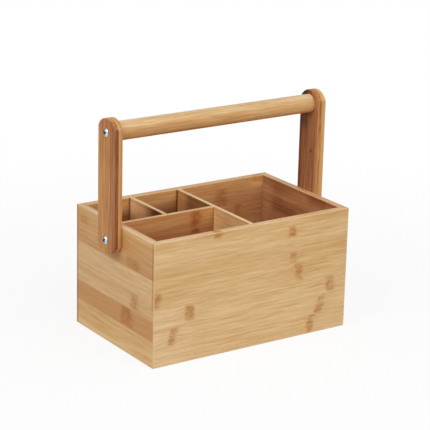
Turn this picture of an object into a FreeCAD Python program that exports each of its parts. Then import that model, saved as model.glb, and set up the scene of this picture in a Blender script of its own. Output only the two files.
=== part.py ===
import FreeCAD, Part
import math
import os

# Bamboo utensil caddy: an open box with three dividers and a swinging carry handle.
# Sizes are in millimetres. X runs along the box, -Y faces its long front and Z is up.
# The origin is on the table, under the middle of the box.

# Box
box_length = 256.0
box_width = 162.5
box_height = 140.0
wall = 8.5                  # boards of the four sides, mitred at the corners
edge_ease = 0.8             # rounding of the sanded edges of the sides

# Floor board, let into a groove round the four sides
floor_board = 5.0
floor_lift = 6.0            # table to the underside of the floor board
groove_depth = 4.0
groove_play = 0.2           # round the edge of the floor board and above it

# Dividers, let into dados, their tops level with the rim
divider = 4.5
divider_ease = 0.5          # rounding of the top edges
dado_depth = 2.5
shallow_dado_depth = 1.4    # in the dividers and behind the left pivot's insert
dado_play = 0.6             # on each face of a divider in its dado
dado_end_play = 0.1         # between a divider's end and the bottom of its dado
left_bays_length = 118.4    # clear length left of the cross divider
front_bay_width = 70.0      # clear width in front of the lengthwise divider
corner_bay_length = 55.2    # clear length left of the short divider

# Handle
pivot_below_rim = 17.0
handle_reach = 119.5        # pivot axis to the axis of the grip
arm_width = 34.0
arm_thickness = 10.4
arm_overhang = 15.4         # length of an arm beyond the axis at each end
arm_end_rise = 10.5         # height of the curved end above its two corners
arm_corner_ease = 3.0       # rounding of those corners
arm_ease = 0.8              # rounding of the rims of both faces
grip_diameter = 21.0
grip_chamfer = 0.6

# Pivots: a machine screw through each arm into a threaded insert in the end panel
pivot_screw_diameter = 5.0
pivot_running_play = 0.05   # radial, screw in the arm
pivot_side_play = 0.05      # on each face of an arm, to the washer and to the screw head
insert_diameter = 8.0
wood_behind_insert = 2.2    # left in the end panel by the blind hole
insert_hole_play = 0.3      # below the insert in its blind hole
thread_play = 0.05          # radial, between screw and thread, which are plain cylinders
screw_end_gap = 0.6         # from the end of the pivot screw to the bottom of the insert
washer_diameter = 12.0
washer_thickness = 0.3
washer_hole_play = 0.2      # radial

# Wood screws that hold the grip between the arms
grip_screw_diameter = 4.8
grip_screw_bite = 28.0      # length inside the grip
grip_screw_play = 0.2       # radial, in the arm
screw_point = 5.0           # length of the tapered point
pilot_overrun = 1.0         # pilot hole beyond the point

# Domed pan heads with a cross recess, the same on all four screws
head_diameter = 9.2
head_height = 2.6
head_rim = 0.9              # straight part of the head's side
recess_span = 5.0
recess_width = 1.1
recess_depth = 1.6
screw_end_chamfer = 0.5
left_grip_recess_turn = 20.0      # degrees; a driven screw stops at any angle
right_grip_recess_turn = 65.0
left_pivot_recess_turn = 40.0
right_pivot_recess_turn = 10.0

# Places that follow from the sizes above
half_length = box_length / 2
half_width = box_width / 2
inner_half_length = half_length - wall
inner_half_width = half_width - wall
floor_top = floor_lift + floor_board
cross_left = -inner_half_length + left_bays_length
cross_right = cross_left + divider
lengthwise_front = -inner_half_width + front_bay_width
lengthwise_back = lengthwise_front + divider
short_left = -inner_half_length + corner_bay_length
short_right = short_left + divider
pivot_height = box_height - pivot_below_rim
insert_length = wall - wood_behind_insert - insert_hole_play
grip_height = pivot_height + handle_reach
arm_inner = half_length + washer_thickness + pivot_side_play
arm_outer = arm_inner + arm_thickness

x_axis = FreeCAD.Vector(1, 0, 0)
z_axis = FreeCAD.Vector(0, 0, 1)


def block(x0, x1, y0, y1, z0, z1):
    """Box between two opposite corners."""
    corner = FreeCAD.Vector(x0, y0, z0)
    return Part.makeBox(x1 - x0, y1 - y0, z1 - z0, corner)


def rod(diameter, x0, x1, height):
    """Cylinder along X from x0 to x1, its axis at a height above the table."""
    start = FreeCAD.Vector(x0, 0, height)
    return Part.makeCylinder(diameter / 2, x1 - x0, start, x_axis)


def turned(profile, height):
    """Solid of revolution about X from (x, radius) edges, its axis at a height."""
    solid = Part.Face(Part.Wire(profile)).revolve(FreeCAD.Vector(), x_axis, 360)
    solid.translate(z_axis * height)
    return solid


def to_left(shape):
    """The same piece at the left end of the caddy."""
    copy = shape.copy()
    copy.rotate(FreeCAD.Vector(), z_axis, 180)
    return copy


def edges_where(shape, test):
    """Straight edges of a shape whose middle point and direction pass a test."""
    found = []
    for edge in shape.Edges:
        if isinstance(edge.Curve, Part.Line):
            middle = edge.valueAt((edge.FirstParameter + edge.LastParameter) / 2)
            if test(middle, edge.tangentAt(edge.FirstParameter)):
                found.append(edge)
    return found


def side_ring():
    """The four sides as one ring, with its sanded edges rounded."""
    outer = block(-half_length, half_length, -half_width, half_width, 0, box_height)
    inner = block(-inner_half_length, inner_half_length,
                  -inner_half_width, inner_half_width, 0, box_height)

    def sanded(middle, along):
        level = abs(along.z) < 0.5
        outside = abs(middle.x) > inner_half_length and abs(middle.y) > inner_half_width
        return level or outside

    ring = outer.cut(inner)
    return ring.makeFillet(edge_ease, edges_where(ring, sanded))


def mitred_side(ring, along, across, turn):
    """One side of the ring, between its two mitres; no turn is the front."""
    inward = 2 * wall
    points = [(-along, -across), (along, -across),
              (along - inward, inward - across), (inward - along, inward - across)]
    corners = [FreeCAD.Vector(x, y, 0) for x, y in points]
    wedge = Part.Face(Part.makePolygon(corners + corners[:1])).extrude(z_axis * box_height)
    wedge.rotate(FreeCAD.Vector(), z_axis, turn)
    return ring.common(wedge)


def floor_groove():
    """Space that the sides leave for the edge of the floor board."""
    x = inner_half_length + groove_depth
    y = inner_half_width + groove_depth
    return block(-x, x, -y, y, floor_lift, floor_top + groove_play)


def cross_dado():
    """Slot for the cross divider in the front and back."""
    y = inner_half_width + dado_depth
    return block(cross_left - dado_play, cross_right + dado_play, -y, y, floor_top, box_height)


def lengthwise_dado():
    """Slot for the lengthwise divider in the left end and the cross divider."""
    return block(-inner_half_length - shallow_dado_depth, cross_left + shallow_dado_depth,
                 lengthwise_front - dado_play, lengthwise_back + dado_play,
                 floor_top, box_height)


def short_dado():
    """Slot for the short divider in the lengthwise divider and the back."""
    return block(short_left - dado_play, short_right + dado_play,
                 lengthwise_back - shallow_dado_depth, inner_half_width + dado_depth,
                 floor_top, box_height)


def insert_hole():
    """Blind hole for the threaded insert in the right end."""
    bottom = half_length - insert_length - insert_hole_play
    return rod(insert_diameter + 2 * thread_play, bottom, half_length, pivot_height)


def front_panel(ring):
    side = mitred_side(ring, half_length, half_width, 0)
    return side.cut([floor_groove(), cross_dado()])


def back_panel(ring):
    side = mitred_side(ring, half_length, half_width, 180)
    return side.cut([floor_groove(), cross_dado(), short_dado()])


def right_end_panel(ring):
    side = mitred_side(ring, half_width, half_length, 90)
    return side.cut([floor_groove(), insert_hole()])


def left_end_panel(ring):
    side = mitred_side(ring, half_width, half_length, 270)
    return side.cut([floor_groove(), lengthwise_dado(), to_left(insert_hole())])


def floor_panel():
    x = inner_half_length + groove_depth - groove_play
    y = inner_half_width + groove_depth - groove_play
    return block(-x, x, -y, y, floor_lift, floor_top)


def upright_board(x0, x1, y0, y1):
    """A divider on the floor board, with its two long top edges rounded."""
    board = block(x0, x1, y0, y1, floor_top, box_height)
    runs_along_x = x1 - x0 > y1 - y0

    def top_edge(middle, along):
        lengthways = abs(along.x if runs_along_x else along.y) > 0.5
        return lengthways and middle.z > box_height - divider_ease

    return board.makeFillet(divider_ease, edges_where(board, top_edge))


def cross_divider():
    y = inner_half_width + dado_depth - dado_end_play
    return upright_board(cross_left, cross_right, -y, y).cut(lengthwise_dado())


def lengthwise_divider():
    start = -inner_half_length - shallow_dado_depth + dado_end_play
    end = cross_left + shallow_dado_depth - dado_end_play
    return upright_board(start, end, lengthwise_front, lengthwise_back).cut(short_dado())


def short_divider():
    start = lengthwise_back - shallow_dado_depth + dado_end_play
    end = inner_half_width + dado_depth - dado_end_play
    return upright_board(short_left, short_right, start, end)


def right_arm():
    """Flat bar with curved ends, standing up from its pivot to the grip."""
    side = arm_width / 2
    top = grip_height + arm_overhang
    bottom = pivot_height - arm_overhang
    top_corner = top - arm_end_rise
    bottom_corner = bottom + arm_end_rise

    def point(y, z):
        return FreeCAD.Vector(arm_inner, y, z)

    def crosswise(edge):
        return abs(edge.tangentAt(edge.FirstParameter).x) > 0.5

    outline = [
        Part.LineSegment(point(-side, bottom_corner), point(-side, top_corner)),
        Part.Arc(point(-side, top_corner), point(0, top), point(side, top_corner)),
        Part.LineSegment(point(side, top_corner), point(side, bottom_corner)),
        Part.Arc(point(side, bottom_corner), point(0, bottom), point(-side, bottom_corner)),
    ]
    face = Part.Face(Part.Wire([piece.toShape() for piece in outline]))
    bar = face.extrude(x_axis * arm_thickness)
    bar = bar.makeFillet(arm_corner_ease, [edge for edge in bar.Edges if crosswise(edge)])
    bar = bar.makeFillet(arm_ease, [edge for edge in bar.Edges if not crosswise(edge)])
    pivot_hole = rod(pivot_screw_diameter + 2 * pivot_running_play,
                     arm_inner, arm_outer, pivot_height)
    grip_hole = rod(grip_screw_diameter + 2 * grip_screw_play,
                    arm_inner, arm_outer, grip_height)
    return bar.cut([pivot_hole, grip_hole])


def grip_dowel():
    """Round grip between the arms, with a pilot hole in each end."""
    grip = rod(grip_diameter, -arm_inner, arm_inner, grip_height)
    rims = [edge for edge in grip.Edges if isinstance(edge.Curve, Part.Circle)]
    grip = grip.makeChamfer(grip_chamfer, rims)
    bottom = arm_inner - grip_screw_bite - pilot_overrun
    pilot = rod(grip_screw_diameter + 2 * thread_play, bottom, arm_inner, grip_height)
    return grip.cut([pilot, to_left(pilot)])


def pan_screw(diameter, seat, end, taper, height, recess_turn):
    """Screw along X: the head sits on x = seat and the shank ends at x = end."""
    radius = diameter / 2
    head_radius = head_diameter / 2
    dome = head_height - head_rim
    dome_radius = (head_radius ** 2 + dome ** 2) / (2 * dome)
    half_angle = math.asin(head_radius / dome_radius) / 2
    crown = seat + head_height
    dome_middle = (crown - dome_radius * (1 - math.cos(half_angle)),
                   dome_radius * math.sin(half_angle))

    def point(x, r):
        return FreeCAD.Vector(x, r, 0)

    tip_radius = max(0, radius - taper)
    outline = [(end, tip_radius), (end + taper, radius), (seat, radius),
               (seat, head_radius), (seat + head_rim, head_radius)]
    if tip_radius > 0:
        outline.insert(0, (end, 0))
    corners = [point(x, r) for x, r in outline]
    profile = [Part.LineSegment(a, b).toShape() for a, b in zip(corners, corners[1:])]
    profile.append(Part.Arc(corners[-1], point(*dome_middle), point(crown, 0)).toShape())
    profile.append(Part.LineSegment(point(crown, 0), corners[0]).toShape())
    screw = turned(profile, height)
    for turn in (recess_turn, recess_turn + 90):
        slot = block(crown - recess_depth, crown, -recess_span / 2, recess_span / 2,
                     -recess_width / 2, recess_width / 2)
        slot.rotate(FreeCAD.Vector(), x_axis, turn)
        slot.translate(z_axis * height)
        screw = screw.cut(slot)
    return screw


def pivot_screw(recess_turn):
    end = half_length - insert_length + screw_end_gap
    return pan_screw(pivot_screw_diameter, arm_outer + pivot_side_play, end,
                     screw_end_chamfer, pivot_height, recess_turn)


def grip_screw(recess_turn):
    return pan_screw(grip_screw_diameter, arm_outer, arm_inner - grip_screw_bite,
                     screw_point, grip_height, recess_turn)


def ring_about_pivot(outside, bore, x0, x1):
    """Tube about the right pivot, such as a washer."""
    return rod(outside, x0, x1, pivot_height).cut(rod(bore, x0, x1, pivot_height))


def pivot_insert():
    bore = pivot_screw_diameter + 2 * thread_play
    return ring_about_pivot(insert_diameter, bore, half_length - insert_length, half_length)


def pivot_washer():
    bore = pivot_screw_diameter + 2 * washer_hole_play
    return ring_about_pivot(washer_diameter, bore, half_length, half_length + washer_thickness)


def caddy():
    """Every piece by name, with the handle upright."""
    ring = side_ring()
    return {
        "front_panel": front_panel(ring),
        "back_panel": back_panel(ring),
        "left_end_panel": left_end_panel(ring),
        "right_end_panel": right_end_panel(ring),
        "floor_panel": floor_panel(),
        "cross_divider": cross_divider(),
        "lengthwise_divider": lengthwise_divider(),
        "short_divider": short_divider(),
        "left_arm": to_left(right_arm()),
        "right_arm": right_arm(),
        "grip_dowel": grip_dowel(),
        "left_grip_screw": to_left(grip_screw(left_grip_recess_turn)),
        "right_grip_screw": grip_screw(right_grip_recess_turn),
        "left_pivot_screw": to_left(pivot_screw(left_pivot_recess_turn)),
        "right_pivot_screw": pivot_screw(right_pivot_recess_turn),
        "left_pivot_insert": to_left(pivot_insert()),
        "right_pivot_insert": pivot_insert(),
        "left_pivot_washer": to_left(pivot_washer()),
        "right_pivot_washer": pivot_washer(),
    }


os.makedirs("parts", exist_ok=True)
for node, shape in caddy().items():
    shape.exportStep("parts/" + node + ".step")
    box = shape.BoundBox
    print(f"{node:20s} {len(shape.Solids)} solid, valid {shape.isValid()},"
          f" {shape.Volume / 1000:8.2f} cm3, x {box.XMin:7.1f} {box.XMax:7.1f},"
          f" y {box.YMin:6.1f} {box.YMax:6.1f}, z {box.ZMin:6.1f} {box.ZMax:6.1f}")
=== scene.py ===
import math
import random

import bpy
from mathutils import Matrix, Vector


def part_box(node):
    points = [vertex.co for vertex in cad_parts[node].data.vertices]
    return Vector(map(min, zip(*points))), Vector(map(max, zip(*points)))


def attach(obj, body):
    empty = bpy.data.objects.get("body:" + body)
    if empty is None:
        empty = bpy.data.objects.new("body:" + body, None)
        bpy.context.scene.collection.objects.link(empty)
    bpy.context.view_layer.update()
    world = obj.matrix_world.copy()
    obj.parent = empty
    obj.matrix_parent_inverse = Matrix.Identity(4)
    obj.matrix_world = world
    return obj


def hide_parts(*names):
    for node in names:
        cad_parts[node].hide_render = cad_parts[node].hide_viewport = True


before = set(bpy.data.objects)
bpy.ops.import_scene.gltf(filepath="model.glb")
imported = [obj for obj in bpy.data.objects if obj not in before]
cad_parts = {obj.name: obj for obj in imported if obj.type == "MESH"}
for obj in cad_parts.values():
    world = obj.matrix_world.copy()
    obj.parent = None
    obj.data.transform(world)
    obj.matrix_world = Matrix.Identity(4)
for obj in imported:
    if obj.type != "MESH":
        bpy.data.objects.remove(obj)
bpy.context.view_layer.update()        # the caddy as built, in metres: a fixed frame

print("frame loaded:", len(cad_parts), "pieces")


# shader maths as plain expressions
class Wire:
    # one output of a node; arithmetic on wires adds Math nodes
    def __init__(self, paint, socket):
        self.paint = paint
        self.socket = socket

    def twin(self, output):
        # another output of the same node
        return Wire(self.paint, self.socket.node.outputs[output])

    def math(self, operation, *terms):
        return self.paint.node("ShaderNodeMath", {"operation": operation}, dict(enumerate(terms)))

    def __add__(self, other):
        return self.math("ADD", self, other)

    def __radd__(self, other):
        return self.math("ADD", other, self)

    def __sub__(self, other):
        return self.math("SUBTRACT", self, other)

    def __rsub__(self, other):
        return self.math("SUBTRACT", other, self)

    def __mul__(self, other):
        return self.math("MULTIPLY", self, other)

    def __rmul__(self, other):
        return self.math("MULTIPLY", other, self)

    def __truediv__(self, other):
        return self.math("DIVIDE", self, other)

    def __mod__(self, other):
        return self.math("FLOORED_MODULO", self, other)

    def __abs__(self):
        return self.math("ABSOLUTE", self)

    def floor(self):
        return self.math("FLOOR", self)

    def least(self, other):
        return self.math("MINIMUM", self, other)

    def most(self, other):
        return self.math("MAXIMUM", self, other)

    def root(self):
        return self.math("SQRT", self)

    def ease(self, start, end):
        # smoothly from 0 at start to 1 at end; either of the two may be the larger
        low, high = min(start, end), max(start, end)
        first, last = (0.0, 1.0) if start < end else (1.0, 0.0)
        return self.paint.node("ShaderNodeMapRange", {"interpolation_type": "SMOOTHSTEP"},
                               {0: self, 1: low, 2: high, 3: first, 4: last})


class Paint:
    # the node tree of a material or of the world
    def __init__(self, owner):
        owner.use_nodes = True
        self.owner = owner
        self.tree = owner.node_tree
        self.tree.nodes.clear()

    def node(self, kind, settings=None, sockets=None, output=0):
        made = self.tree.nodes.new(kind)
        for setting, value in (settings or {}).items():
            if setting == "stops":
                setStops(made.color_ramp, value)
            else:
                setattr(made, setting, value)
        for key, value in (sockets or {}).items():
            if isinstance(value, Wire):
                self.tree.links.new(value.socket, made.inputs[key])
            else:
                made.inputs[key].default_value = value
        return Wire(self, made.outputs[output]) if made.outputs else None

    def places(self):
        # x, y and z in metres, in the piece's own coordinates
        here = self.node("ShaderNodeTexCoord", output="Object")
        return [self.node("ShaderNodeSeparateXYZ", sockets={0: here}, output=axis) for axis in "XYZ"]

    def noise(self, x, y, z, detail=2.0, roughness=0.5):
        spot = self.node("ShaderNodeCombineXYZ", sockets={0: x, 1: y, 2: z})
        return self.node("ShaderNodeTexNoise", {"noise_dimensions": "3D"},
                         {"Vector": spot, "Scale": 1.0, "Detail": detail, "Roughness": roughness})

    def mix(self, amount, first, second, blend="MIX"):
        return self.node("ShaderNodeMix", {"data_type": "RGBA", "blend_type": blend},
                         {0: amount, 6: first, 7: second}, output=2)

    def bump(self, height, strength, distance):
        return self.node("ShaderNodeBump", sockets={
            "Height": height, "Strength": strength, "Distance": distance})

    def surface(self, sockets):
        shader = self.node("ShaderNodeBsdfPrincipled", sockets=sockets)
        self.node("ShaderNodeOutputMaterial", sockets={"Surface": shader})
        return self.owner


def setStops(ramp, stops):
    # (place, colour) pairs, each colour held up to the next place
    ramp.interpolation = "CONSTANT"
    ramp.elements.remove(ramp.elements[1])
    ramp.elements[0].position, ramp.elements[0].color = stops[0]
    for place, colour in stops[1:]:
        ramp.elements.new(place).color = colour


def tone(red, green, blue):
    # a colour given as it looks on a screen, 0 to 255
    return tuple(linear(part / 255) for part in (red, green, blue)) + (1.0,)


def linear(part):
    return part / 12.92 if part <= 0.04045 else ((part + 0.055) / 1.055) ** 2.4


def tint(red, green, blue):
    # what a colour is multiplied by
    return (red, green, blue, 1.0)


# bamboo boards
bambooLook = {
    "pale": tone(228, 195, 146),
    "amber": tone(198, 148, 84),
    "knot": tone(172, 106, 42),
    "fleck": tone(172, 122, 70),
    "seam": tone(168, 122, 74),
    "glue": tone(134, 88, 50),
    "worn": tone(234, 202, 160),
    "innerShading": tint(0.92, 0.77, 0.69),      # painted shade on the inner faces, together with a browner tone of the wood there
    "innerSides": (False, False),             # which of the two broad faces are inner ones
    "shades": {},               # tints with the ranges they come in over, on all faces: tones of the wood, painted shade and painted light
    "innerShades": {},          # and on inner faces only: mostly painted shade and painted light
    "mitre": None,              # half the box's size along the board and through it
    "stripWidth": 0.022,
    "stripOffset": 0.0,         # how much of the lowest strip is trimmed off
    "plyShade": 0.0,            # how much paler the ply on the higher side is
    "streaks": 1.0,
    "knotLength": 0.0066,
    "knotDepth": 0.9,
    "seamDepth": 0.2,
    "roughness": 0.48,
    "gloss": 0.35,              # specular level
}

# the rest is alike on all boards; a range is where something starts and where it is full
grainLook = {
    "wander": 0.004,            # how far the line of a knot is bent
    "longSway": 0.006,          # and the fibres, in long and short waves and round a knot
    "shortSway": 0.0016,
    "swirl": 0.008,
    "swirlRange": (0.026, 0.002),             # from a knot
    "darkening": {"broad": 0.8, "streak": 1.5, "line": 0.34, "fine": 0.6},
    "swirlDarkening": 0.12,
    "depthRange": (-0.3, 1.3),                # pale to amber
    "fleckShare": 0.3,
    "plyLine": 0.0003,                        # half the width of the line between plies
    "seamRange": (0.0004, 0.0001),            # from a strip's edge
    "mitreRange": (0.0007, 0.0001),           # from a mitre
    "mitreShare": 0.3,
    "innerRange": (0.0006, 0.0002),           # from an inner face
    "rimRange": (0.0, 0.0008),                # down from the board's top
    "wornRange": (0.0018, 0.0004),            # from the board's edges
    "wornWaves": 90,
    "wornPatches": (0.4, 0.9),                # the least wear and what patches add
    "wornShare": 0.35,
    "rough": {"streak": 0.2, "knot": 0.1, "worn": -0.1},
    "height": {"streak": 0.6, "fine": 0.5, "fleck": -0.3, "seam": -0.6, "knot": -0.5},
    "bumpStrength": 0.25,
    "bumpDistance": 0.00025,
}

knotLook = {
    "tallRange": (0.56, 0.34),                # across the strip, in knot heights
    "longRange": (1.1, 0.3),                  # along it, in knot lengths
    "wanderShare": 0.5,         # how far its wander moves its upper and lower ends
    "lumpEdge": 0.9,            # and lumps its sides
    "lumpRange": (0.34, 0.6),
    "base": 0.27,               # how dark it is at least, and what the rest adds
    "lumpShare": 0.25,
    "dashShare": 0.14,
    "lumpDashShare": 0.22,      # where a dash crosses a lump
}

# fibre noise: waves per metre along and across the fibres, shift from strip to strip, detail,
# roughness, and the range it comes in over, or None where it swings about 0
fibreLayers = {
    "broad": (6, 75, 7.3, 2.0, 0.5, None),
    "streak": (19, 380, 3.1, 3.0, 0.62, None),
    "line": (27, 760, 9.1, 1.0, 0.5, (0.54, 0.7)),
    "fine": (62, 1500, 0.0, 2.0, 0.5, None),
    "fleck": (85, 2500, 0.0, 1.0, 0.5, (0.6, 0.72)),
    "dash": (150, 560, 0.0, 2.0, 0.65, (0.38, 0.62)),
}

# softer noise: waves per metre in two directions, shift from strip to strip, detail
cloudLayers = {
    "wander": (120, 110, 3.3, 1.0),
    "longSway": (8, 16, 3.9, 1.0),
    "shortSway": (42, 60, 2.3, 1.0),
    "swirl": (105, 95, 5.1, 1.0),
    "fray": (80, 520, 4.4, 2.0),
    "lump": (130, 135, 6.7, 2.0),
}

# the least and the most that a strip may have of each trait, four to a colour ramp
traitRanges = [
    {"shade": (0.0, 1.0), "knot": (-0.3, 0.3), "spacing": (0.0, 1.0), "lean": (-0.01, 0.01)},
    {"strength": (0.0, 2.0), "size": (0.0, 4.0), "middle": (0.0, 1.0), "height": (0.0, 2.0)},
]


def stripTraits(paint, strips, index):
    # what each strip has for itself; a ramp's four channels hold numbers from 0 to 1
    traits = {}
    for ranges in traitRanges:
        stops = [(i / len(strips), [(one[key] - least) / (most - least)
                                    for key, (least, most) in ranges.items()])
                 for i, one in enumerate(strips)]
        ramp = paint.node("ShaderNodeValToRGB", {"stops": stops},
                          {"Fac": (index + 0.5) / len(strips)})
        parts = paint.node("ShaderNodeSeparateColor", sockets={0: ramp})
        channels = (parts, parts.twin("Green"), parts.twin("Blue"), ramp.twin("Alpha"))
        for channel, (key, (least, most)) in zip(channels, ranges.items()):
            traits[key] = channel * (most - least) + least
    return traits


class Board:
    # where a point is on a board: in which strip, along which fibre and how near a knot
    # grain: the axes along the fibres, across the strips and through the board
    # strips: from the lowest one across, each as strip() gives it
    def __init__(self, paint, node, grain, strips, look):
        self.paint = paint
        self.low, self.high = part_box(node)
        self.place = dict(zip("xyz", paint.places()))
        self.along, self.across, self.through = (self.place[axis] for axis in grain)
        acrossAxis, throughAxis = ("xyz".index(axis) for axis in grain[1:])
        self.bottom = self.low[throughAxis]
        self.top = self.high[throughAxis]

        firstStrip = self.low[acrossAxis] - look["stripOffset"]
        number = (self.across - firstStrip) / look["stripWidth"]
        self.index = number.floor()
        self.within = number - self.index
        self.traits = stripTraits(paint, strips, self.index)
        self.findKnot()
        self.bendFibres()

    def cloud(self, layer, first, second):
        firstWaves, secondWaves, shift, detail = cloudLayers[layer]
        return self.paint.noise(first * firstWaves, second * secondWaves, self.index * shift, detail)

    def fibres(self, layer):
        alongWaves, acrossWaves, shift, detail, roughness, comesIn = fibreLayers[layer]
        noise = self.paint.noise(self.along * alongWaves + self.index * shift,
                                 self.fibre * acrossWaves, self.through * acrossWaves,
                                 detail, roughness)
        return noise.ease(*comesIn) if comesIn else noise - 0.5

    def findKnot(self):
        # how far along the grain the nearest knot is; a knot leans and its line wanders
        spacing = self.traits["spacing"]
        self.wander = self.cloud("wander", self.across, self.through) - 0.5
        lean = self.traits["lean"] * (self.within - 0.5)
        offKnot = self.along - self.traits["knot"] - lean + self.wander * grainLook["wander"]
        self.knotGap = abs((offKnot + spacing * 0.5) % spacing - spacing * 0.5)
        self.nearKnot = self.knotGap.ease(*grainLook["swirlRange"])

    def bendFibres(self):
        # fibres sway, and swirl round a knot
        bends = {layer: (self.cloud(layer, self.along, self.across) - 0.5) * grainLook[layer]
                 for layer in ("longSway", "shortSway", "swirl")}
        sway = bends["longSway"] + bends["shortSway"]
        self.fibre = self.across + sway + bends["swirl"] * self.nearKnot

    def inner(self, sides):
        # 1 on the inner faces, below the board's top, where painted shade and light go, or None where
        # it has none
        lowSide, highSide = sides
        start, end = grainLook["innerRange"]
        inner = None
        if lowSide:
            inner = self.through.ease(self.bottom + start, self.bottom + end)
        if highSide:
            other = self.through.ease(self.top - start, self.top - end)
            inner = other if inner is None else inner.most(other)
        if inner is not None:
            rim = [self.high[2] - down for down in grainLook["rimRange"]]
            inner = inner * self.place["z"].ease(*rim)
        return inner

    def edgeWear(self):
        # 1 on the board's edges, where sanding and hands have paled them
        gaps = [(self.place[axis] - self.low[i]).least(self.high[i] - self.place[axis])
                for i, axis in enumerate("xyz")]
        nearest = gaps[0].least(gaps[1]).least(gaps[2])
        farthest = gaps[0].most(gaps[1]).most(gaps[2])
        second = gaps[0] + gaps[1] + gaps[2] - nearest - farthest
        patches = self.paint.noise(*(self.place[axis] * grainLook["wornWaves"] for axis in "xyz"))
        least, more = grainLook["wornPatches"]
        return second.ease(*grainLook["wornRange"]) * (least + patches * more)


def knotShare(board, look):
    # a knot is a soft lumpy band, frayed along the fibres and lined with dark dashes
    traits = board.traits
    knotLength = look["knotLength"]
    fray = board.cloud("fray", board.along, board.fibre) - 0.5
    lump = board.cloud("lump", board.along, board.across)
    dash = board.fibres("dash")
    offMiddle = (board.within - traits["middle"]) / traits["height"]
    tall = abs(offMiddle + board.wander * knotLook["wanderShare"]).ease(*knotLook["tallRange"])
    edge = fray + knotLook["lumpEdge"] * (0.5 - lump)
    edge = (board.knotGap + edge * knotLength) / traits["size"]
    lump = lump.ease(*knotLook["lumpRange"])
    share = (knotLook["base"] + lump * knotLook["lumpShare"]
             + dash * (knotLook["dashShare"] + lump * knotLook["lumpDashShare"]))
    longRange = [knotLength * end for end in knotLook["longRange"]]
    return edge.ease(*longRange) * tall * share * traits["strength"]


def reached(place, ranges):
    # 1 where every range, an axis with its start and end, has been passed
    amount = 1.0
    for axis, start, end in ranges:
        amount = place[axis].ease(start, end) * amount
    return amount


def layerSum(layers, shares):
    # the layers named in shares, each times its share, added up
    total = 0.0
    for layer, share in shares.items():
        total = layers[layer] * share + total
    return total


def bambooPaint(name, node, grain, strips, look):
    paint = Paint(bpy.data.materials.new(name))
    board = Board(paint, node, grain, strips, look)
    layers = {layer: board.fibres(layer) for layer in ("broad", "streak", "line", "fine", "fleck")}

    depth = board.traits["shade"]
    for layer, darkening in grainLook["darkening"].items():
        depth = depth + layers[layer] * (darkening * look["streaks"])
    depth = depth + board.nearKnot * grainLook["swirlDarkening"]
    palePly = None
    if look["plyShade"]:
        middle = (board.bottom + board.top) / 2
        palePly = board.through.ease(middle - grainLook["plyLine"], middle + grainLook["plyLine"])
        depth = depth - palePly * look["plyShade"]
    colour = paint.mix(depth.ease(*grainLook["depthRange"]), look["pale"], look["amber"])
    colour = paint.mix(layers["fleck"] * grainLook["fleckShare"], colour, look["fleck"])

    seamGap = board.within.least(1 - board.within) * look["stripWidth"]
    layers["seam"] = seamGap.ease(*grainLook["seamRange"])
    colour = paint.mix(layers["seam"] * look["seamDepth"], colour, look["seam"])

    knot = knotShare(board, look)
    layers["knot"] = knot if palePly is None else knot * (1 - palePly)
    colour = paint.mix(layers["knot"] * look["knotDepth"], colour, look["knot"])

    # painted shade and light: the inner faces and the listed ranges are tinted, along with tones of the
    # wood
    inner = board.inner(look["innerSides"])
    if inner is not None:
        colour = paint.mix(inner, colour, look["innerShading"], "MULTIPLY")
    for shadeTint, ranges in look["shades"].values():
        colour = paint.mix(reached(board.place, ranges), colour, shadeTint, "MULTIPLY")
    for shadeTint, ranges in look["innerShades"].values():
        colour = paint.mix(inner * reached(board.place, ranges), colour, shadeTint, "MULTIPLY")

    if look["mitre"]:
        halfAlong, halfThrough = look["mitre"]
        mitreGap = (halfAlong - abs(board.along)) - (halfThrough - abs(board.through))
        glue = mitreGap.ease(*grainLook["mitreRange"]) * grainLook["mitreShare"]
        colour = paint.mix(glue, colour, look["glue"])

    worn = board.edgeWear() * grainLook["wornShare"]
    layers["worn"] = worn if inner is None else worn * (1 - inner)
    colour = paint.mix(layers["worn"], colour, look["worn"])

    return paint.surface({
        "Base Color": colour,
        "Roughness": look["roughness"] + layerSum(layers, grainLook["rough"]),
        "Specular IOR Level": look["gloss"],
        "Normal": paint.bump(layerSum(layers, grainLook["height"]), grainLook["bumpStrength"],
                             grainLook["bumpDistance"]),
    })


def strip(shade, knot=0.3, spacing=0.9, lean=0.0, strength=1.0, size=1.0, middle=0.5, height=1.0):
    # shade from 0 pale to 1 dark, the place of one knot, the length of cane from knot to
    # knot, how far the knot leans, and how strong, long, high up and tall it is
    return {"shade": shade, "knot": knot, "spacing": spacing, "lean": lean,
            "strength": strength, "size": size, "middle": middle, "height": height}


# what strips are like as they come off the pile, from the least to the most
pileRanges = {
    "knot": (-0.13, 0.13),
    "spacing": (0.19, 0.28),
    "lean": (-0.004, 0.004),
    "strength": (0.6, 1.1),
    "size": (0.8, 1.3),
    "middle": (0.35, 0.65),
}


def plainStrips(seed, count, shade=0.42, spread=0.16):
    # strips as they come, and how far their shade strays
    pile = random.Random(seed)
    return [strip(shade + pile.uniform(-spread, spread),
                  **{key: pile.uniform(*ends) for key, ends in pileRanges.items()})
            for i in range(count)]


def withStrips(strips, chosen):
    # the same strips with some of them given one by one
    return [chosen.get(i, one) for i, one in enumerate(strips)]


def fromFace(node, axis, start, end, high=False):
    # a range measured inwards from one side of a node's box, or outwards where below 0
    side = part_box(node)[1 if high else 0]["xyz".index(axis)]
    inwards = -1 if high else 1
    return (axis, side + start * inwards, side + end * inwards)


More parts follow.
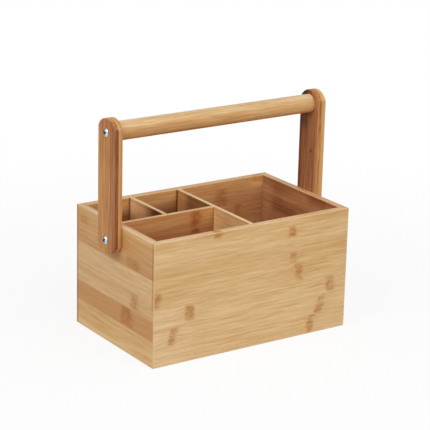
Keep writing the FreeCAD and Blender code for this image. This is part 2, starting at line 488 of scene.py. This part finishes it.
# ranges that several tints come in over
onRim = fromFace("front_panel", "z", 0.0008, 0.0002, high=True)
onDividerTop = fromFace("cross_divider", "z", 0.0006, 0.0002, high=True)
leftArmFace = fromFace("left_arm", "x", 0.00155, 0.00055)       # its outer face
rightArmFace = fromFace("right_arm", "x", 0.00155, 0.00055)     # its inner face
armFrontStrip = fromFace("left_arm", "y", 0.0048, 0.004)
armFrontSide = fromFace("left_arm", "y", 0.0012, 0.0004)
frontBay = ("y", 0.001, -0.001)
backBays = ("y", -0.001, 0.001)
backCorner = fromFace("back_panel", "y", -0.00275, -0.00135)    # where dividers meet it
# painted shade in the gaps where the dividers meet the back wall
cornerShadeLine = tint(0.5, 0.38, 0.3)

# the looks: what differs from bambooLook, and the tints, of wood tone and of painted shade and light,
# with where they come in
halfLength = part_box("right_end_panel")[1][0]
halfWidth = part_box("back_panel")[1][1]
wallLook = dict(bambooLook, mitre=(halfLength, halfWidth))
frontLook = dict(wallLook, innerSides=(False, True), shades={
    "lowerLeft": (tint(1.05, 1.09, 1.18), [("x", -0.06, -0.11), ("z", 0.085, 0.06)]),
    "upperRight": (tint(0.96, 0.94, 0.9), [("x", 0.05, 0.09), ("z", 0.08, 0.095)]),
    "rim": (tint(1.0, 1.04, 1.13), [onRim]),
    # painted shade along the inner edge of the rim
    "rimInsideShade": (tint(0.82, 0.76, 0.75), [onRim, ("x", -0.04, -0.055), ("y", -0.0758, -0.0748)]),
})
backLook = dict(wallLook, innerSides=(True, False), innerShades={
    # the back wall's inner face: painted shade deeper down and in the left bays, painted light towards
    # the top and the right
    "upper": (tint(1.08, 1.05, 0.97), [("z", 0.125, 0.131)]),
    "lower": (tint(0.86, 0.77, 0.77), [("z", 0.129, 0.118)]),
    "leftBays": (tint(0.62, 0.55, 0.53), [("x", 0.004, -0.002), ("z", 0.131, 0.117)]),
    "right": (tint(1.12, 1.2, 1.25), [("x", 0.085, 0.118), ("z", 0.115, 0.125)]),
    "upperRight": (tint(1.09, 1.12, 1.12), [("x", 0.05, 0.066), ("z", 0.126, 0.132)]),
    "farRight": (tint(1.07, 1.1, 1.16), [("x", 0.095, 0.11), ("z", 0.128, 0.133)]),
    "upperMiddle": (tint(1.11, 1.13, 1.11), [
        ("x", -0.034, -0.018), ("x", 0.003, 0.001), ("z", 0.1305, 0.134)]),
    "crossLine": (cornerShadeLine, [
        fromFace("cross_divider", "x", -0.0015, -0.0003),
        fromFace("cross_divider", "x", -0.0006, 0.0004, high=True)]),
    "shortLine": (cornerShadeLine, [
        fromFace("short_divider", "x", -0.0015, -0.0003),
        fromFace("short_divider", "x", -0.0014, -0.0004, high=True)]),
})
endLook = dict(bambooLook, mitre=(halfWidth, halfLength), stripWidth=0.0229)
leftLook = dict(endLook, innerSides=(False, True), stripOffset=0.0159, knotLength=0.0085, shades={
    "upperStrip": (tint(0.98, 0.9, 0.88), [("z", 0.0992, 0.0998), ("z", 0.12, 0.108)]),
    "upper": (tint(1.06, 1.01, 1.0), [("z", 0.108, 0.114)]),
    "top": (tint(1.1, 1.2, 1.36), [("z", 0.13, 0.137)]),
    "middle": (tint(1.04, 1.0, 0.97), [("z", 0.1, 0.099), ("z", 0.05, 0.053)]),
    "middleBack": (tint(0.96, 0.9, 0.84), [
        ("z", 0.06, 0.064), ("z", 0.074, 0.068), ("y", -0.03, -0.01)]),
    "darkStrip": (tint(1.04, 0.95, 0.94), [("z", 0.052, 0.0512), ("z", 0.0295, 0.0303)]),
    "lowStrips": (tint(1.1, 1.06, 0.99), [("z", 0.0305, 0.0298)]),
    "foot": (tint(1.12, 1.2, 1.28), [("z", 0.026, 0.004)]),
    "rim": (tint(0.97, 1.07, 1.27), [onRim]),
    # painted shade along the inner edge of the rim
    "rimInsideShade": (tint(0.72, 0.57, 0.46), [onRim, ("x", -0.1232, -0.1216)]),
    # dark bands beside the mitres: glue lines with painted shade where the rounded edges turn from the
    # light
    "frontMitreShade": (tint(0.74, 0.6, 0.5), [
        ("y", -0.0772, -0.0784), ("y", -0.0806, -0.0796), ("z", 0.058, 0.07), ("x", -0.1272, -0.1278)]),
    "backMitreShade": (tint(0.66, 0.5, 0.4), [
        ("y", 0.077, 0.0785), ("y", 0.0814, 0.0803), ("x", -0.1272, -0.1278)]),
})
# the right end: on its inner face, painted shade deeper down, and darker and paler patches
rightLook = dict(endLook, innerSides=(True, False), stripOffset=0.004, shades={
    "frontRim": (tint(0.84, 0.75, 0.7), [onRim, ("y", -0.008, -0.024)]),
}, innerShading=tint(0.83, 0.62, 0.6), innerShades={
    "top": (tint(0.78, 0.62, 0.52), [("z", 0.133, 0.138)]),
    "upperFront": (tint(0.76, 0.66, 0.6), [
        ("y", -0.008, -0.024), ("y", -0.055, -0.045), ("z", 0.124, 0.132)]),
    "middlePatch": (tint(1.12, 1.1, 1.1), [
        ("y", -0.02, -0.006), ("y", 0.026, 0.01), ("z", 0.118, 0.124), ("z", 0.135, 0.13)]),
    "lower": (tint(0.84, 0.76, 0.73), [("z", 0.122, 0.117)]),
    "upperBack": (tint(0.84, 0.74, 0.7), [("z", 0.127, 0.131), ("y", 0.0, 0.028)]),
    "topFront": (tint(0.94, 0.8, 0.72), [("z", 0.131, 0.135), ("y", -0.006, -0.022)]),
    "lowPatch": (tint(0.7, 0.6, 0.52), [
        ("y", 0.0, 0.014), ("y", 0.058, 0.046), ("z", 0.118, 0.111), ("z", 0.1, 0.106)]),
    "back": (tint(1.11, 1.25, 1.4), [("y", 0.05, 0.066)]),
    "backPatch": (tint(0.9, 0.82, 0.8), [
        ("y", 0.028, 0.036), ("y", 0.054, 0.046), ("z", 0.136, 0.132), ("z", 0.11, 0.118)]),
    "edgeBack": (tint(1.08, 1.14, 1.12), [("y", 0.016, 0.026), ("z", 0.1355, 0.138)]),
    "edgeFront": (tint(1.0, 0.9, 0.8), [("y", 0.012, 0.002), ("z", 0.1355, 0.138)]),
})
dividerLook = dict(bambooLook, innerSides=(True, True), shades={
    "top": (tint(1.06, 1.08, 1.12), [onDividerTop]),
})
# the cross divider: painted light over its inner faces, in the front bay and by the lengthwise divider;
# painted shade in the back bays and deeper down
crossLook = dict(dividerLook, innerShading=tint(1.08, 0.97, 0.87), innerShades={
    "backBays": (tint(0.5, 0.35, 0.28), [("y", 0.061, 0.04), backBays]),
    "topBack": (tint(0.86, 0.78, 0.72), [("y", 0.04, 0.052), ("z", 0.134, 0.1375)]),
    "top": (tint(1.0, 0.91, 0.84), [("z", 0.1366, 0.1378)]),
    "byLengthwise": (tint(1.08, 1.2, 1.28), [("y", -0.011, -0.005), frontBay, ("z", 0.137, 0.135)]),
    "lowBack": (tint(0.82, 0.8, 0.82), [("y", 0.068, 0.054), ("z", 0.124, 0.118), backBays]),
    "belowTop": (tint(0.9, 0.76, 0.66), [("z", 0.138, 0.13), ("y", 0.044, 0.056)]),
    "backEnd": (tint(0.9, 0.84, 0.82), [("y", 0.044, 0.056)]),
    "cornerShadeLine": (cornerShadeLine, [backCorner]),
    "frontBay": (tint(1.25, 1.32, 1.38), [("y", -0.03, -0.01), frontBay]),
})
# the short divider: painted light over its inner faces, painted shade towards the lengthwise divider
# and deeper down
shortLook = dict(dividerLook, innerShading=tint(1.12, 1.06, 1.02), innerShades={
    "front": (tint(0.33, 0.23, 0.17), [("y", 0.049, 0.019)]),
    "lower": (tint(0.82, 0.7, 0.7), [("z", 0.124, 0.116)]),
    "upperBack": (tint(1.1, 1.14, 1.2), [("y", 0.05, 0.066), ("z", 0.12, 0.126)]),
    "lowest": (tint(0.78, 0.64, 0.62), [("z", 0.124, 0.116)]),
    "belowTop": (tint(1.13, 1.13, 1.15), [
        ("y", 0.03, 0.04), ("z", 0.1255, 0.1285), ("z", 0.1372, 0.1352)]),
    "top": (tint(1.0, 0.9, 0.88), [("z", 0.1352, 0.1372)]),
    "topFront": (tint(0.72, 0.64, 0.56), [("y", 0.03, 0.02), ("z", 0.132, 0.136)]),
    "cornerShadeLine": (tint(0.62, 0.5, 0.43), [backCorner]),
})
# the lengthwise divider: painted shade deeper down, painted light by the cross divider
lengthwiseLook = dict(dividerLook, innerShading=tint(0.86, 0.66, 0.52), innerShades={
    "lower": (tint(0.7, 0.58, 0.6), [("z", 0.134, 0.112)]),
    "byCross": (tint(1.1, 1.14, 1.16), [("x", -0.022, -0.003)]),
})
floorLook = dict(bambooLook, innerSides=(False, True))
armLook = dict(bambooLook, pale=tone(231, 170, 98), amber=tone(151, 87, 45),
               knot=tone(104, 58, 34), fleck=tone(128, 78, 46), seam=tone(126, 78, 46),
               worn=tone(210, 160, 105), stripWidth=0.00425, plyShade=1.15, seamDepth=0.08,
               knotLength=0.0024, knotDepth=0.8, streaks=0.9)
leftArmLook = dict(armLook, shades={
    "outerFace": (tint(0.96, 0.9, 0.75), [leftArmFace]),
    "outerPlyUpper": (tint(0.95, 0.91, 0.84), [("x", -0.133, -0.134), ("z", 0.198, 0.214)]),
    "frontStripUpper": (tint(0.94, 0.86, 0.85), [leftArmFace, armFrontStrip, ("z", 0.206, 0.22)]),
    "innerPlyUpper": (tint(0.95, 0.94, 0.93), [("x", -0.1322, -0.1312), ("z", 0.198, 0.214)]),
    "outerTop": (tint(0.88, 0.78, 0.72), [leftArmFace, ("z", 0.238, 0.252)]),
    "frontStrip": (tint(0.95, 0.92, 0.86), [leftArmFace, armFrontStrip]),
    "backStrip": (tint(1.02, 1.16, 1.36), [leftArmFace, ("y", 0.0112, 0.014)]),
    "frontDarkPly": (tint(0.74, 0.62, 0.66), [armFrontSide, ("x", -0.1332, -0.1338)]),
    "frontEdge": (tint(0.97, 0.88, 0.8), [armFrontSide, ("x", -0.1358, -0.1368)]),
    "palePly": (tint(0.78, 0.82, 0.97), [("x", -0.1338, -0.1332)]),
    "palePlyInside": (tint(0.93, 0.8, 0.5), [("x", -0.1315, -0.1302)]),
    "roundTop": (tint(0.92, 0.94, 0.98), [("z", 0.246, 0.25), ("x", -0.1384, -0.1374)]),
})
rightArmLook = dict(armLook, plyShade=0.75, gloss=0.12, shades={
    "innerFace": (tint(1.0, 0.98, 1.38), [rightArmFace]),
    "innerUpper": (tint(0.96, 0.92, 0.79), [rightArmFace, ("z", 0.162, 0.18)]),
    "backStrips": (tint(0.58, 0.42, 0.28), [rightArmFace, ("y", 0.0075, 0.0155)]),
    # painted shadow of the grip on the inner face, below and beside it
    "belowGrip": (tint(0.6, 0.52, 0.42), [rightArmFace, ("y", -0.003, 0.009), ("z", 0.202, 0.222)]),
    "besideGrip": (tint(0.6, 0.48, 0.42), [
        rightArmFace, ("y", -0.007, -0.003), ("z", 0.224, 0.23)]),
    "backUpper": (tint(0.71, 0.76, 0.57), [rightArmFace, ("y", 0.0, 0.007), ("z", 0.211, 0.222)]),
    "backEdge": (tint(0.91, 0.68, 0.4), [rightArmFace, ("y", 0.0115, 0.014)]),
    "frontArc": (tint(1.12, 1.24, 1.36), [
        ("x", 0.1292, 0.1286), ("y", -0.009, -0.011), ("z", 0.234, 0.24)]),
    "darkPlySides": (tint(0.93, 0.96, 1.1), [("x", 0.1292, 0.13), ("x", 0.1338, 0.1332)]),
    "palePly": (tint(0.83, 0.9, 0.95), [("x", 0.1332, 0.1338)]),
    "palePlyOutside": (tint(1.02, 1.14, 1.36), [("x", 0.1358, 0.1368)]),
    "roundTop": (tint(0.97, 1.03, 1.12), [
        ("z", 0.246, 0.25), ("x", 0.1286, 0.1296), ("x", 0.1386, 0.138)]),
})
gripLook = dict(bambooLook, pale=tone(222, 192, 146), amber=tone(188, 142, 86),
                stripWidth=0.03, knotDepth=0.0, streaks=1.15, shades={
    # painted shade on the lower half and underside, painted light on the top
    "lower": (tint(0.93, 0.79, 0.62), [("z", 0.2484, 0.2462)]),
    "underside": (tint(1.18, 0.85, 0.54), [("z", 0.2396, 0.2336)]),
    "top": (tint(1.04, 1.08, 1.13), [("z", 0.2484, 0.2505)]),
    "rightEnd": (tint(1.06, 1.08, 1.14), [("x", 0.1262, 0.127)]),
})

# the strips of each board, from the lowest one up, or on the arms from the front one back
frontStrips = [
    strip(0.28, 0.0798, 0.24, lean=0.003, strength=1.0, size=0.9),
    strip(0.27, 0.0928, 0.195, lean=0.005, strength=1.0, size=1.05),
    strip(0.3, 0.1058, 0.188, lean=-0.002, strength=1.15, size=1.1),
    strip(0.45, 0.0608, 0.184, size=0.95),
    strip(0.52, 0.0535, 0.2, lean=-0.001, strength=0.7, middle=0.28, height=0.7),
    strip(0.31, 0.0508, 0.2, strength=1.25, middle=0.72, height=0.65),
    strip(0.49, -0.0482, 0.22, strength=1.1, middle=0.25, height=0.5),
]
leftStrips = [
    strip(0.45),
    strip(0.55),
    strip(1.05, -0.0268, lean=0.002, strength=1.1, size=1.8),
    strip(0.32, -0.0428, lean=-0.002, strength=0.85, size=1.2, height=0.8),
    strip(0.3),
    strip(0.8, -0.0395, lean=0.001, strength=0.7, size=1.9, middle=0.36, height=0.5),
    strip(0.74, 0.066, strength=0.7, size=1.4, middle=0.2, height=0.5),
]
leftArmStrips = [strip(shade) for shade in (0.85, 0.68, 0.55, 0.38, 0.28, 0.4, 0.3, 0.3)]
rightArmShades = (0.5, 0.7, 0.66, 0.62, 0.72, 0.7, 0.68, 0.76)
rightArmStrips = withStrips([strip(shade) for shade in rightArmShades], {
    2: strip(0.66, 0.188, 0.5, strength=1.6),
})
backStrips = withStrips(plainStrips(3, 7), {
    4: strip(0.5, 0.0846, strength=0.7, middle=0.6, height=0.8),
    5: strip(0.42, 0.0605, lean=-0.003, strength=0.8, size=1.5, middle=0.4),
    6: strip(0.5, 0.113, size=1.3),
})
lengthwiseStrips = withStrips(plainStrips(8, 6), {
    4: strip(0.5, -0.0256, lean=0.001, strength=1.6, size=1.1),
    5: strip(0.5, -0.0246, lean=0.001, strength=1.3, size=1.2, middle=0.4),
})

# each board's material, its grain axes, strips and look
boardPaints = {
    "front_panel": ("frontBamboo", "xzy", frontStrips, frontLook),
    "back_panel": ("backBamboo", "xzy", backStrips, backLook),
    "left_end_panel": ("leftBamboo", "yzx", leftStrips, leftLook),
    "right_end_panel": ("rightBamboo", "yzx", plainStrips(5, 7), rightLook),
    "floor_panel": ("floorBamboo", "xyz", plainStrips(6, 8), floorLook),
    "cross_divider": ("crossBamboo", "yzx", plainStrips(7, 6, shade=0.25), crossLook),
    "lengthwise_divider": ("lengthwiseBamboo", "xzy", lengthwiseStrips, lengthwiseLook),
    "short_divider": ("shortBamboo", "yzx", plainStrips(9, 6, shade=0.25), shortLook),
    "left_arm": ("leftArmBamboo", "zyx", leftArmStrips, leftArmLook),
    "right_arm": ("rightArmBamboo", "zyx", rightArmStrips, rightArmLook),
    "grip_dowel": ("gripBamboo", "xzy", [strip(0.4)], gripLook),
}


def giveMaterial(node, material):
    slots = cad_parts[node].data.materials
    slots.clear()
    slots.append(material)


for node, (name, grain, strips, look) in boardPaints.items():
    giveMaterial(node, bambooPaint(name, node, grain, strips, look))
print("bamboo boards painted:", len(boardPaints))


# screws, inserts and washers

hardwareLook = {
    "cloudWaves": 500,          # per metre
    "cloudRange": (0.35, 0.7),
    "scratchWaves": (900, 9000, 2500),        # along x, y and z
    # a painted reflection of dark surroundings on one side of a screw head
    "paintedReflectionTone": tone(40, 50, 66),
    "paintedReflectionLoss": 0.95,           # how much less metallic the painted dark reflection is
    "cloudRough": 0.2,
    "scratchRough": 0.15,
    "gloss": 0.15,
    "bumpStrength": 0.15,
    "bumpDistance": 0.00005,
}


def hardwarePaint(name, bright, dull, metallic, roughness, paintedReflectionSide=None):
    # the range in y over which one side of a head gets a painted dark reflection
    paint = Paint(bpy.data.materials.new(name))
    places = paint.places()
    cloud = paint.noise(*(place * hardwareLook["cloudWaves"] for place in places), 3.0)
    scratch = paint.noise(*(place * waves for place, waves in
                            zip(places, hardwareLook["scratchWaves"])), 2.0)
    colour = paint.mix(cloud.ease(*hardwareLook["cloudRange"]), bright, dull)
    if paintedReflectionSide:
        # painted dark reflection on one side of the head
        dark = places[1].ease(*paintedReflectionSide)
        colour = paint.mix(dark, colour, hardwareLook["paintedReflectionTone"])
        metallic = (1 - dark * hardwareLook["paintedReflectionLoss"]) * metallic
    rough = ((cloud - 0.5) * hardwareLook["cloudRough"]
             + (scratch - 0.5) * hardwareLook["scratchRough"])
    return paint.surface({
        "Base Color": colour,
        "Metallic": metallic,
        "Roughness": roughness + rough,
        "Specular IOR Level": hardwareLook["gloss"],
        "Normal": paint.bump(scratch, hardwareLook["bumpStrength"], hardwareLook["bumpDistance"]),
    })


zinc = hardwarePaint("brightZinc", tone(214, 224, 236), tone(166, 180, 198),
                     metallic=1.0, roughness=0.2, paintedReflectionSide=(-0.0004, 0.0016))
# the screw recesses painted dark: painted shade in the hollows of the cross
shadedRecessZinc = hardwarePaint("recessPaintedShade", tone(50, 60, 74), tone(26, 32, 42),
                         metallic=0.5, roughness=0.5)
brass = hardwarePaint("turnedBrass", tone(214, 178, 96), tone(180, 140, 70),
                      metallic=1.0, roughness=0.35)
nylon = hardwarePaint("nylon", tone(228, 224, 212), tone(214, 208, 194),
                      metallic=0.0, roughness=0.5)
for side in ("left", "right"):
    giveMaterial(side + "_pivot_insert", brass)
    giveMaterial(side + "_pivot_washer", nylon)

screwLook = {
    "headHeight": 0.0026,
    "headRim": 0.0005,          # straight part of the head's side
    "headSides": 48,
    "domeSteps": range(0, 85, 12),            # degrees up the dome, a ring of faces at each
    "domeTop": 0.0003,          # radius of the last ring
    "recessSpan": 0.0068,
    "recessWidth": 0.0023,
    "recessDepth": 0.0019,
    "recessTaper": 0.62,        # size of the recess at its bottom
    "recessMargin": 0.0005,     # a face this far outside the recess can still be in it
    "recessSkin": 0.0002,       # and is so when it lies this far below the dome
    "spare": 0.001,             # how far the recess cutters stand above the head
    "tipRadius": 0.0002,        # of the finest point
    "softEdge": 0.00012,
    "softAngle": 40,            # degrees; edges sharper than this are softened
    "smoothAngle": 35,
    "turns": {"left_grip_screw": 20, "right_grip_screw": 65,
              "left_pivot_screw": 40, "right_pivot_screw": 10},
    # the body each kind rides on, the radius of its shank and the length of its point
    "kinds": {"grip": ("handle", 0.0024, 0.005), "pivot": ("box", 0.0025, 0.0005)},
}


def deselectAll():
    if bpy.context.mode != "OBJECT":
        bpy.ops.object.mode_set(mode="OBJECT")
    bpy.ops.object.select_all(action="DESELECT")


def selectEnd(piece, way):
    # leaves edit mode on, with only the faces that look along +X or, for a way of -1, -X
    bpy.ops.object.mode_set(mode="OBJECT")
    for part in (piece.data.vertices, piece.data.edges, piece.data.polygons):
        part.foreach_set("select", [False] * len(part))
    for face in piece.data.polygons:
        face.select = face.normal.x * way > 0.9
    bpy.ops.object.mode_set(mode="EDIT")
    bpy.ops.mesh.select_mode(type="FACE")


def domeHeight(radius, headRadius):
    # how far a point of the dome stands off the seat
    rise = screwLook["headHeight"] - screwLook["headRim"]
    sphere = (headRadius ** 2 + rise ** 2) / (2 * rise)
    return screwLook["headHeight"] - sphere + math.sqrt(sphere ** 2 - radius ** 2)


def recessCutter(turn):
    # one arm of the cross, narrower and shorter towards its bottom
    deselectAll()
    depth = screwLook["recessDepth"] + screwLook["spare"]
    top = screwLook["headHeight"] + screwLook["spare"]
    bpy.ops.mesh.primitive_cube_add(size=1, location=(top - depth / 2, 0, 0), scale=(
        depth, screwLook["recessSpan"], screwLook["recessWidth"]))
    cutter = bpy.context.object
    bpy.ops.object.transform_apply(location=True, rotation=True, scale=True)
    selectEnd(cutter, -1)
    taper = screwLook["recessTaper"]
    bpy.ops.transform.resize(value=(1, taper, taper), center_override=(top - depth, 0, 0))
    bpy.ops.object.mode_set(mode="OBJECT")
    cutter.data.transform(Matrix.Rotation(math.radians(turn), 4, "X"))
    return cutter


def isSunk(spot, headRadius):
    # whether a face with its middle at this spot is in the recess
    radius = math.hypot(spot.y, spot.z)
    if radius > screwLook["recessSpan"] / 2 + screwLook["recessMargin"]:
        return False
    return 0 < spot.x < domeHeight(radius, headRadius) - screwLook["recessSkin"]


def makeScrew(name, headRadius, shankRadius, shankLength, point):
    # a pan-head screw along X, its seat at x = 0 and its head on the +X side
    deselectAll()
    rim = screwLook["headRim"]
    bpy.ops.mesh.primitive_cylinder_add(
        vertices=screwLook["headSides"], radius=headRadius, depth=rim,
        location=(rim / 2, 0, 0), rotation=(0, math.pi / 2, 0))
    screw = bpy.context.object
    screw.name = name
    bpy.ops.object.transform_apply(location=True, rotation=True, scale=True)

    selectEnd(screw, 1)
    rings = [headRadius * math.cos(math.radians(angle)) for angle in screwLook["domeSteps"]]
    rings.append(screwLook["domeTop"])
    for outside, inside in zip(rings, rings[1:]):
        bpy.ops.mesh.inset(thickness=outside - inside)
        rise = domeHeight(inside, headRadius) - domeHeight(outside, headRadius)
        bpy.ops.transform.translate(value=(rise, 0, 0))

    selectEnd(screw, -1)
    bpy.ops.mesh.inset(thickness=headRadius - shankRadius)
    bpy.ops.mesh.extrude_region_move(
        TRANSFORM_OT_translate={"value": (point - shankLength, 0, 0)})
    bpy.ops.mesh.extrude_region_move(TRANSFORM_OT_translate={"value": (-point, 0, 0)})
    tip = max(screwLook["tipRadius"], shankRadius - point)
    bpy.ops.transform.resize(value=(1, tip / shankRadius, tip / shankRadius),
                             center_override=(-shankLength, 0, 0))
    bpy.ops.object.mode_set(mode="OBJECT")

    for turn in (0, 90):
        cutter = recessCutter(turn)
        deselectAll()
        bpy.context.view_layer.objects.active = screw
        cut = screw.modifiers.new("recess", "BOOLEAN")
        cut.operation = "DIFFERENCE"
        cut.solver = "EXACT"
        cut.object = cutter
        bpy.ops.object.modifier_apply(modifier=cut.name)
        bpy.data.objects.remove(cutter)

    screw.data.materials.append(zinc)
    screw.data.materials.append(shadedRecessZinc)
    # faces in the recess get the painted shade
    for face in screw.data.polygons:
        face.material_index = 1 if isSunk(face.center, headRadius) else 0
    soft = screw.modifiers.new("softEdge", "BEVEL")
    soft.width = screwLook["softEdge"]
    soft.segments = 2
    soft.limit_method = "ANGLE"
    soft.angle_limit = math.radians(screwLook["softAngle"])
    bpy.ops.object.modifier_apply(modifier=soft.name)
    screw.select_set(True)
    bpy.ops.object.shade_smooth_by_angle(angle=math.radians(screwLook["smoothAngle"]))
    return screw


def placeScrew(model, node, body, atLeft, turn):
    # turned on its own axis, and with its head against the outer end of the node's box
    low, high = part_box(node)
    piece = model.copy()
    piece.data = model.data.copy()
    piece.name = node + "_detailed"
    bpy.context.scene.collection.objects.link(piece)
    reach = (high[0] if not atLeft else -low[0]) - screwLook["headHeight"]
    place = Matrix.Translation((0, 0, (low[2] + high[2]) / 2))
    if atLeft:
        place = place @ Matrix.Rotation(math.pi, 4, "Z")
    place = place @ Matrix.Translation((reach, 0, 0))
    piece.data.transform(place @ Matrix.Rotation(math.radians(turn), 4, "X"))
    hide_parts(node)
    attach(piece, body)


for kind, (body, shankRadius, point) in screwLook["kinds"].items():
    low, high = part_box("right_" + kind + "_screw")
    headRadius = (high[2] - low[2]) / 2
    shankLength = high[0] - low[0] - screwLook["headHeight"]
    model = makeScrew(kind + "Screw", headRadius, shankRadius, shankLength, point)
    for side in ("left", "right"):
        node = side + "_" + kind + "_screw"
        placeScrew(model, node, body, side == "left", screwLook["turns"][node])
    bpy.data.objects.remove(model)
deselectAll()
print("screws, inserts and washers made")


# floor, light and camera

studio = {
    "floorSize": 12.0,
    "floorPale": 0.86,          # as the camera sees it
    "floorBounce": 0.6,         # as it lights the caddy
    "floorGlow": 0.87,          # share of plain white that the camera sees by the caddy
    "glowReach": (0.25, 0.8),   # and how far off it becomes all
    "fill": 0.4,                # light from all round
    "lamps": {                  # place, size and power
        "key": ((0.9, -1.9, 2.2), 1.6, 26.0),
        "front": ((-0.3, -2.2, 1.4), 1.6, 15.0),
        "leftTop": ((-1.9, -0.4, 1.9), 1.6, 25.0),
    },
    "aim": (0.0, 0.0, 0.1),
}


def isCamera(paint):
    # 1 for what the camera sees, also in metal and through glass, and 0 for light
    seen = [paint.node("ShaderNodeLightPath", output=ray)
            for ray in ("Is Camera Ray", "Is Glossy Ray", "Is Transmission Ray")]
    return seen[0].most(seen[1]).most(seen[2])


def makeFloor():
    bpy.ops.mesh.primitive_plane_add(size=studio["floorSize"], location=(0, 0, 0))
    floor = bpy.context.object
    floor.name = "studioFloor"
    paint = Paint(bpy.data.materials.new("floorWhite"))
    seen = isCamera(paint)
    grey = [(studio[part],) * 3 + (1.0,) for part in ("floorBounce", "floorPale")]
    matt = paint.node("ShaderNodeBsdfDiffuse", sockets={"Color": paint.mix(seen, *grey)})
    glow = paint.node("ShaderNodeEmission", sockets={"Color": (1, 1, 1, 1), "Strength": 1.0})
    x, y = paint.places()[:2]
    away = (x * x + y * y).root()
    share = studio["floorGlow"] + away.ease(*studio["glowReach"]) * (1 - studio["floorGlow"])
    floorLight = paint.node("ShaderNodeMixShader", sockets={0: seen * share, 1: matt, 2: glow})
    paint.node("ShaderNodeOutputMaterial", sockets={"Surface": floorLight})
    floor.data.materials.append(paint.owner)


def makeWorld():
    world = bpy.data.worlds.new("studio")
    bpy.context.scene.world = world
    paint = Paint(world)
    strength = studio["fill"] + isCamera(paint) * (1 - studio["fill"])
    glow = paint.node("ShaderNodeBackground", sockets={"Color": (1, 1, 1, 1), "Strength": strength})
    paint.node("ShaderNodeOutputWorld", sockets={"Surface": glow})


def makeLamp(name, place, size, power):
    bpy.ops.object.light_add(type="AREA", location=place)
    lamp = bpy.context.object
    lamp.name = name
    lamp.data.shape = "DISK"
    lamp.data.size = size
    lamp.data.energy = power
    toAim = Vector(studio["aim"]) - Vector(place)
    lamp.rotation_euler = toAim.to_track_quat("-Z", "Y").to_euler()


view = {
    "yaw": 34.321,              # degrees, turned right from looking along +Y
    "pitch": 17.729,            # degrees, looking down
    "roll": -1.467,
    "distance": 2.0285,
    "aside": 0.00365,           # camera moved to its own right
    "down": -0.0565,            # camera moved along its own down
    "aimHeight": 0.07,
    "lens": 151.05,
    "sensor": 36.0,
}


def makeCamera():
    yaw, pitch, roll = (math.radians(view[turn]) for turn in ("yaw", "pitch", "roll"))
    ahead = Vector((math.sin(yaw) * math.cos(pitch), math.cos(yaw) * math.cos(pitch),
                    -math.sin(pitch)))
    level = Vector((math.cos(yaw), -math.sin(yaw), 0))
    below = ahead.cross(level)
    right = level * math.cos(roll) + below * math.sin(roll)
    down = below * math.cos(roll) - level * math.sin(roll)
    spot = (Vector((0, 0, view["aimHeight"])) - ahead * view["distance"]
            + right * view["aside"] + down * view["down"])
    data = bpy.data.cameras.new("photoCamera")
    data.lens = view["lens"]
    data.sensor_width = view["sensor"]
    camera = bpy.data.objects.new("photoCamera", data)
    turn = Matrix((right, -down, -ahead)).transposed()
    camera.matrix_world = Matrix.Translation(spot) @ turn.to_4x4()
    bpy.context.scene.collection.objects.link(camera)
    bpy.context.scene.camera = camera


makeFloor()
makeWorld()
for name, (place, size, power) in studio["lamps"].items():
    makeLamp(name, place, size, power)
makeCamera()
bpy.context.scene.view_settings.view_transform = "Standard"
print("studio ready")
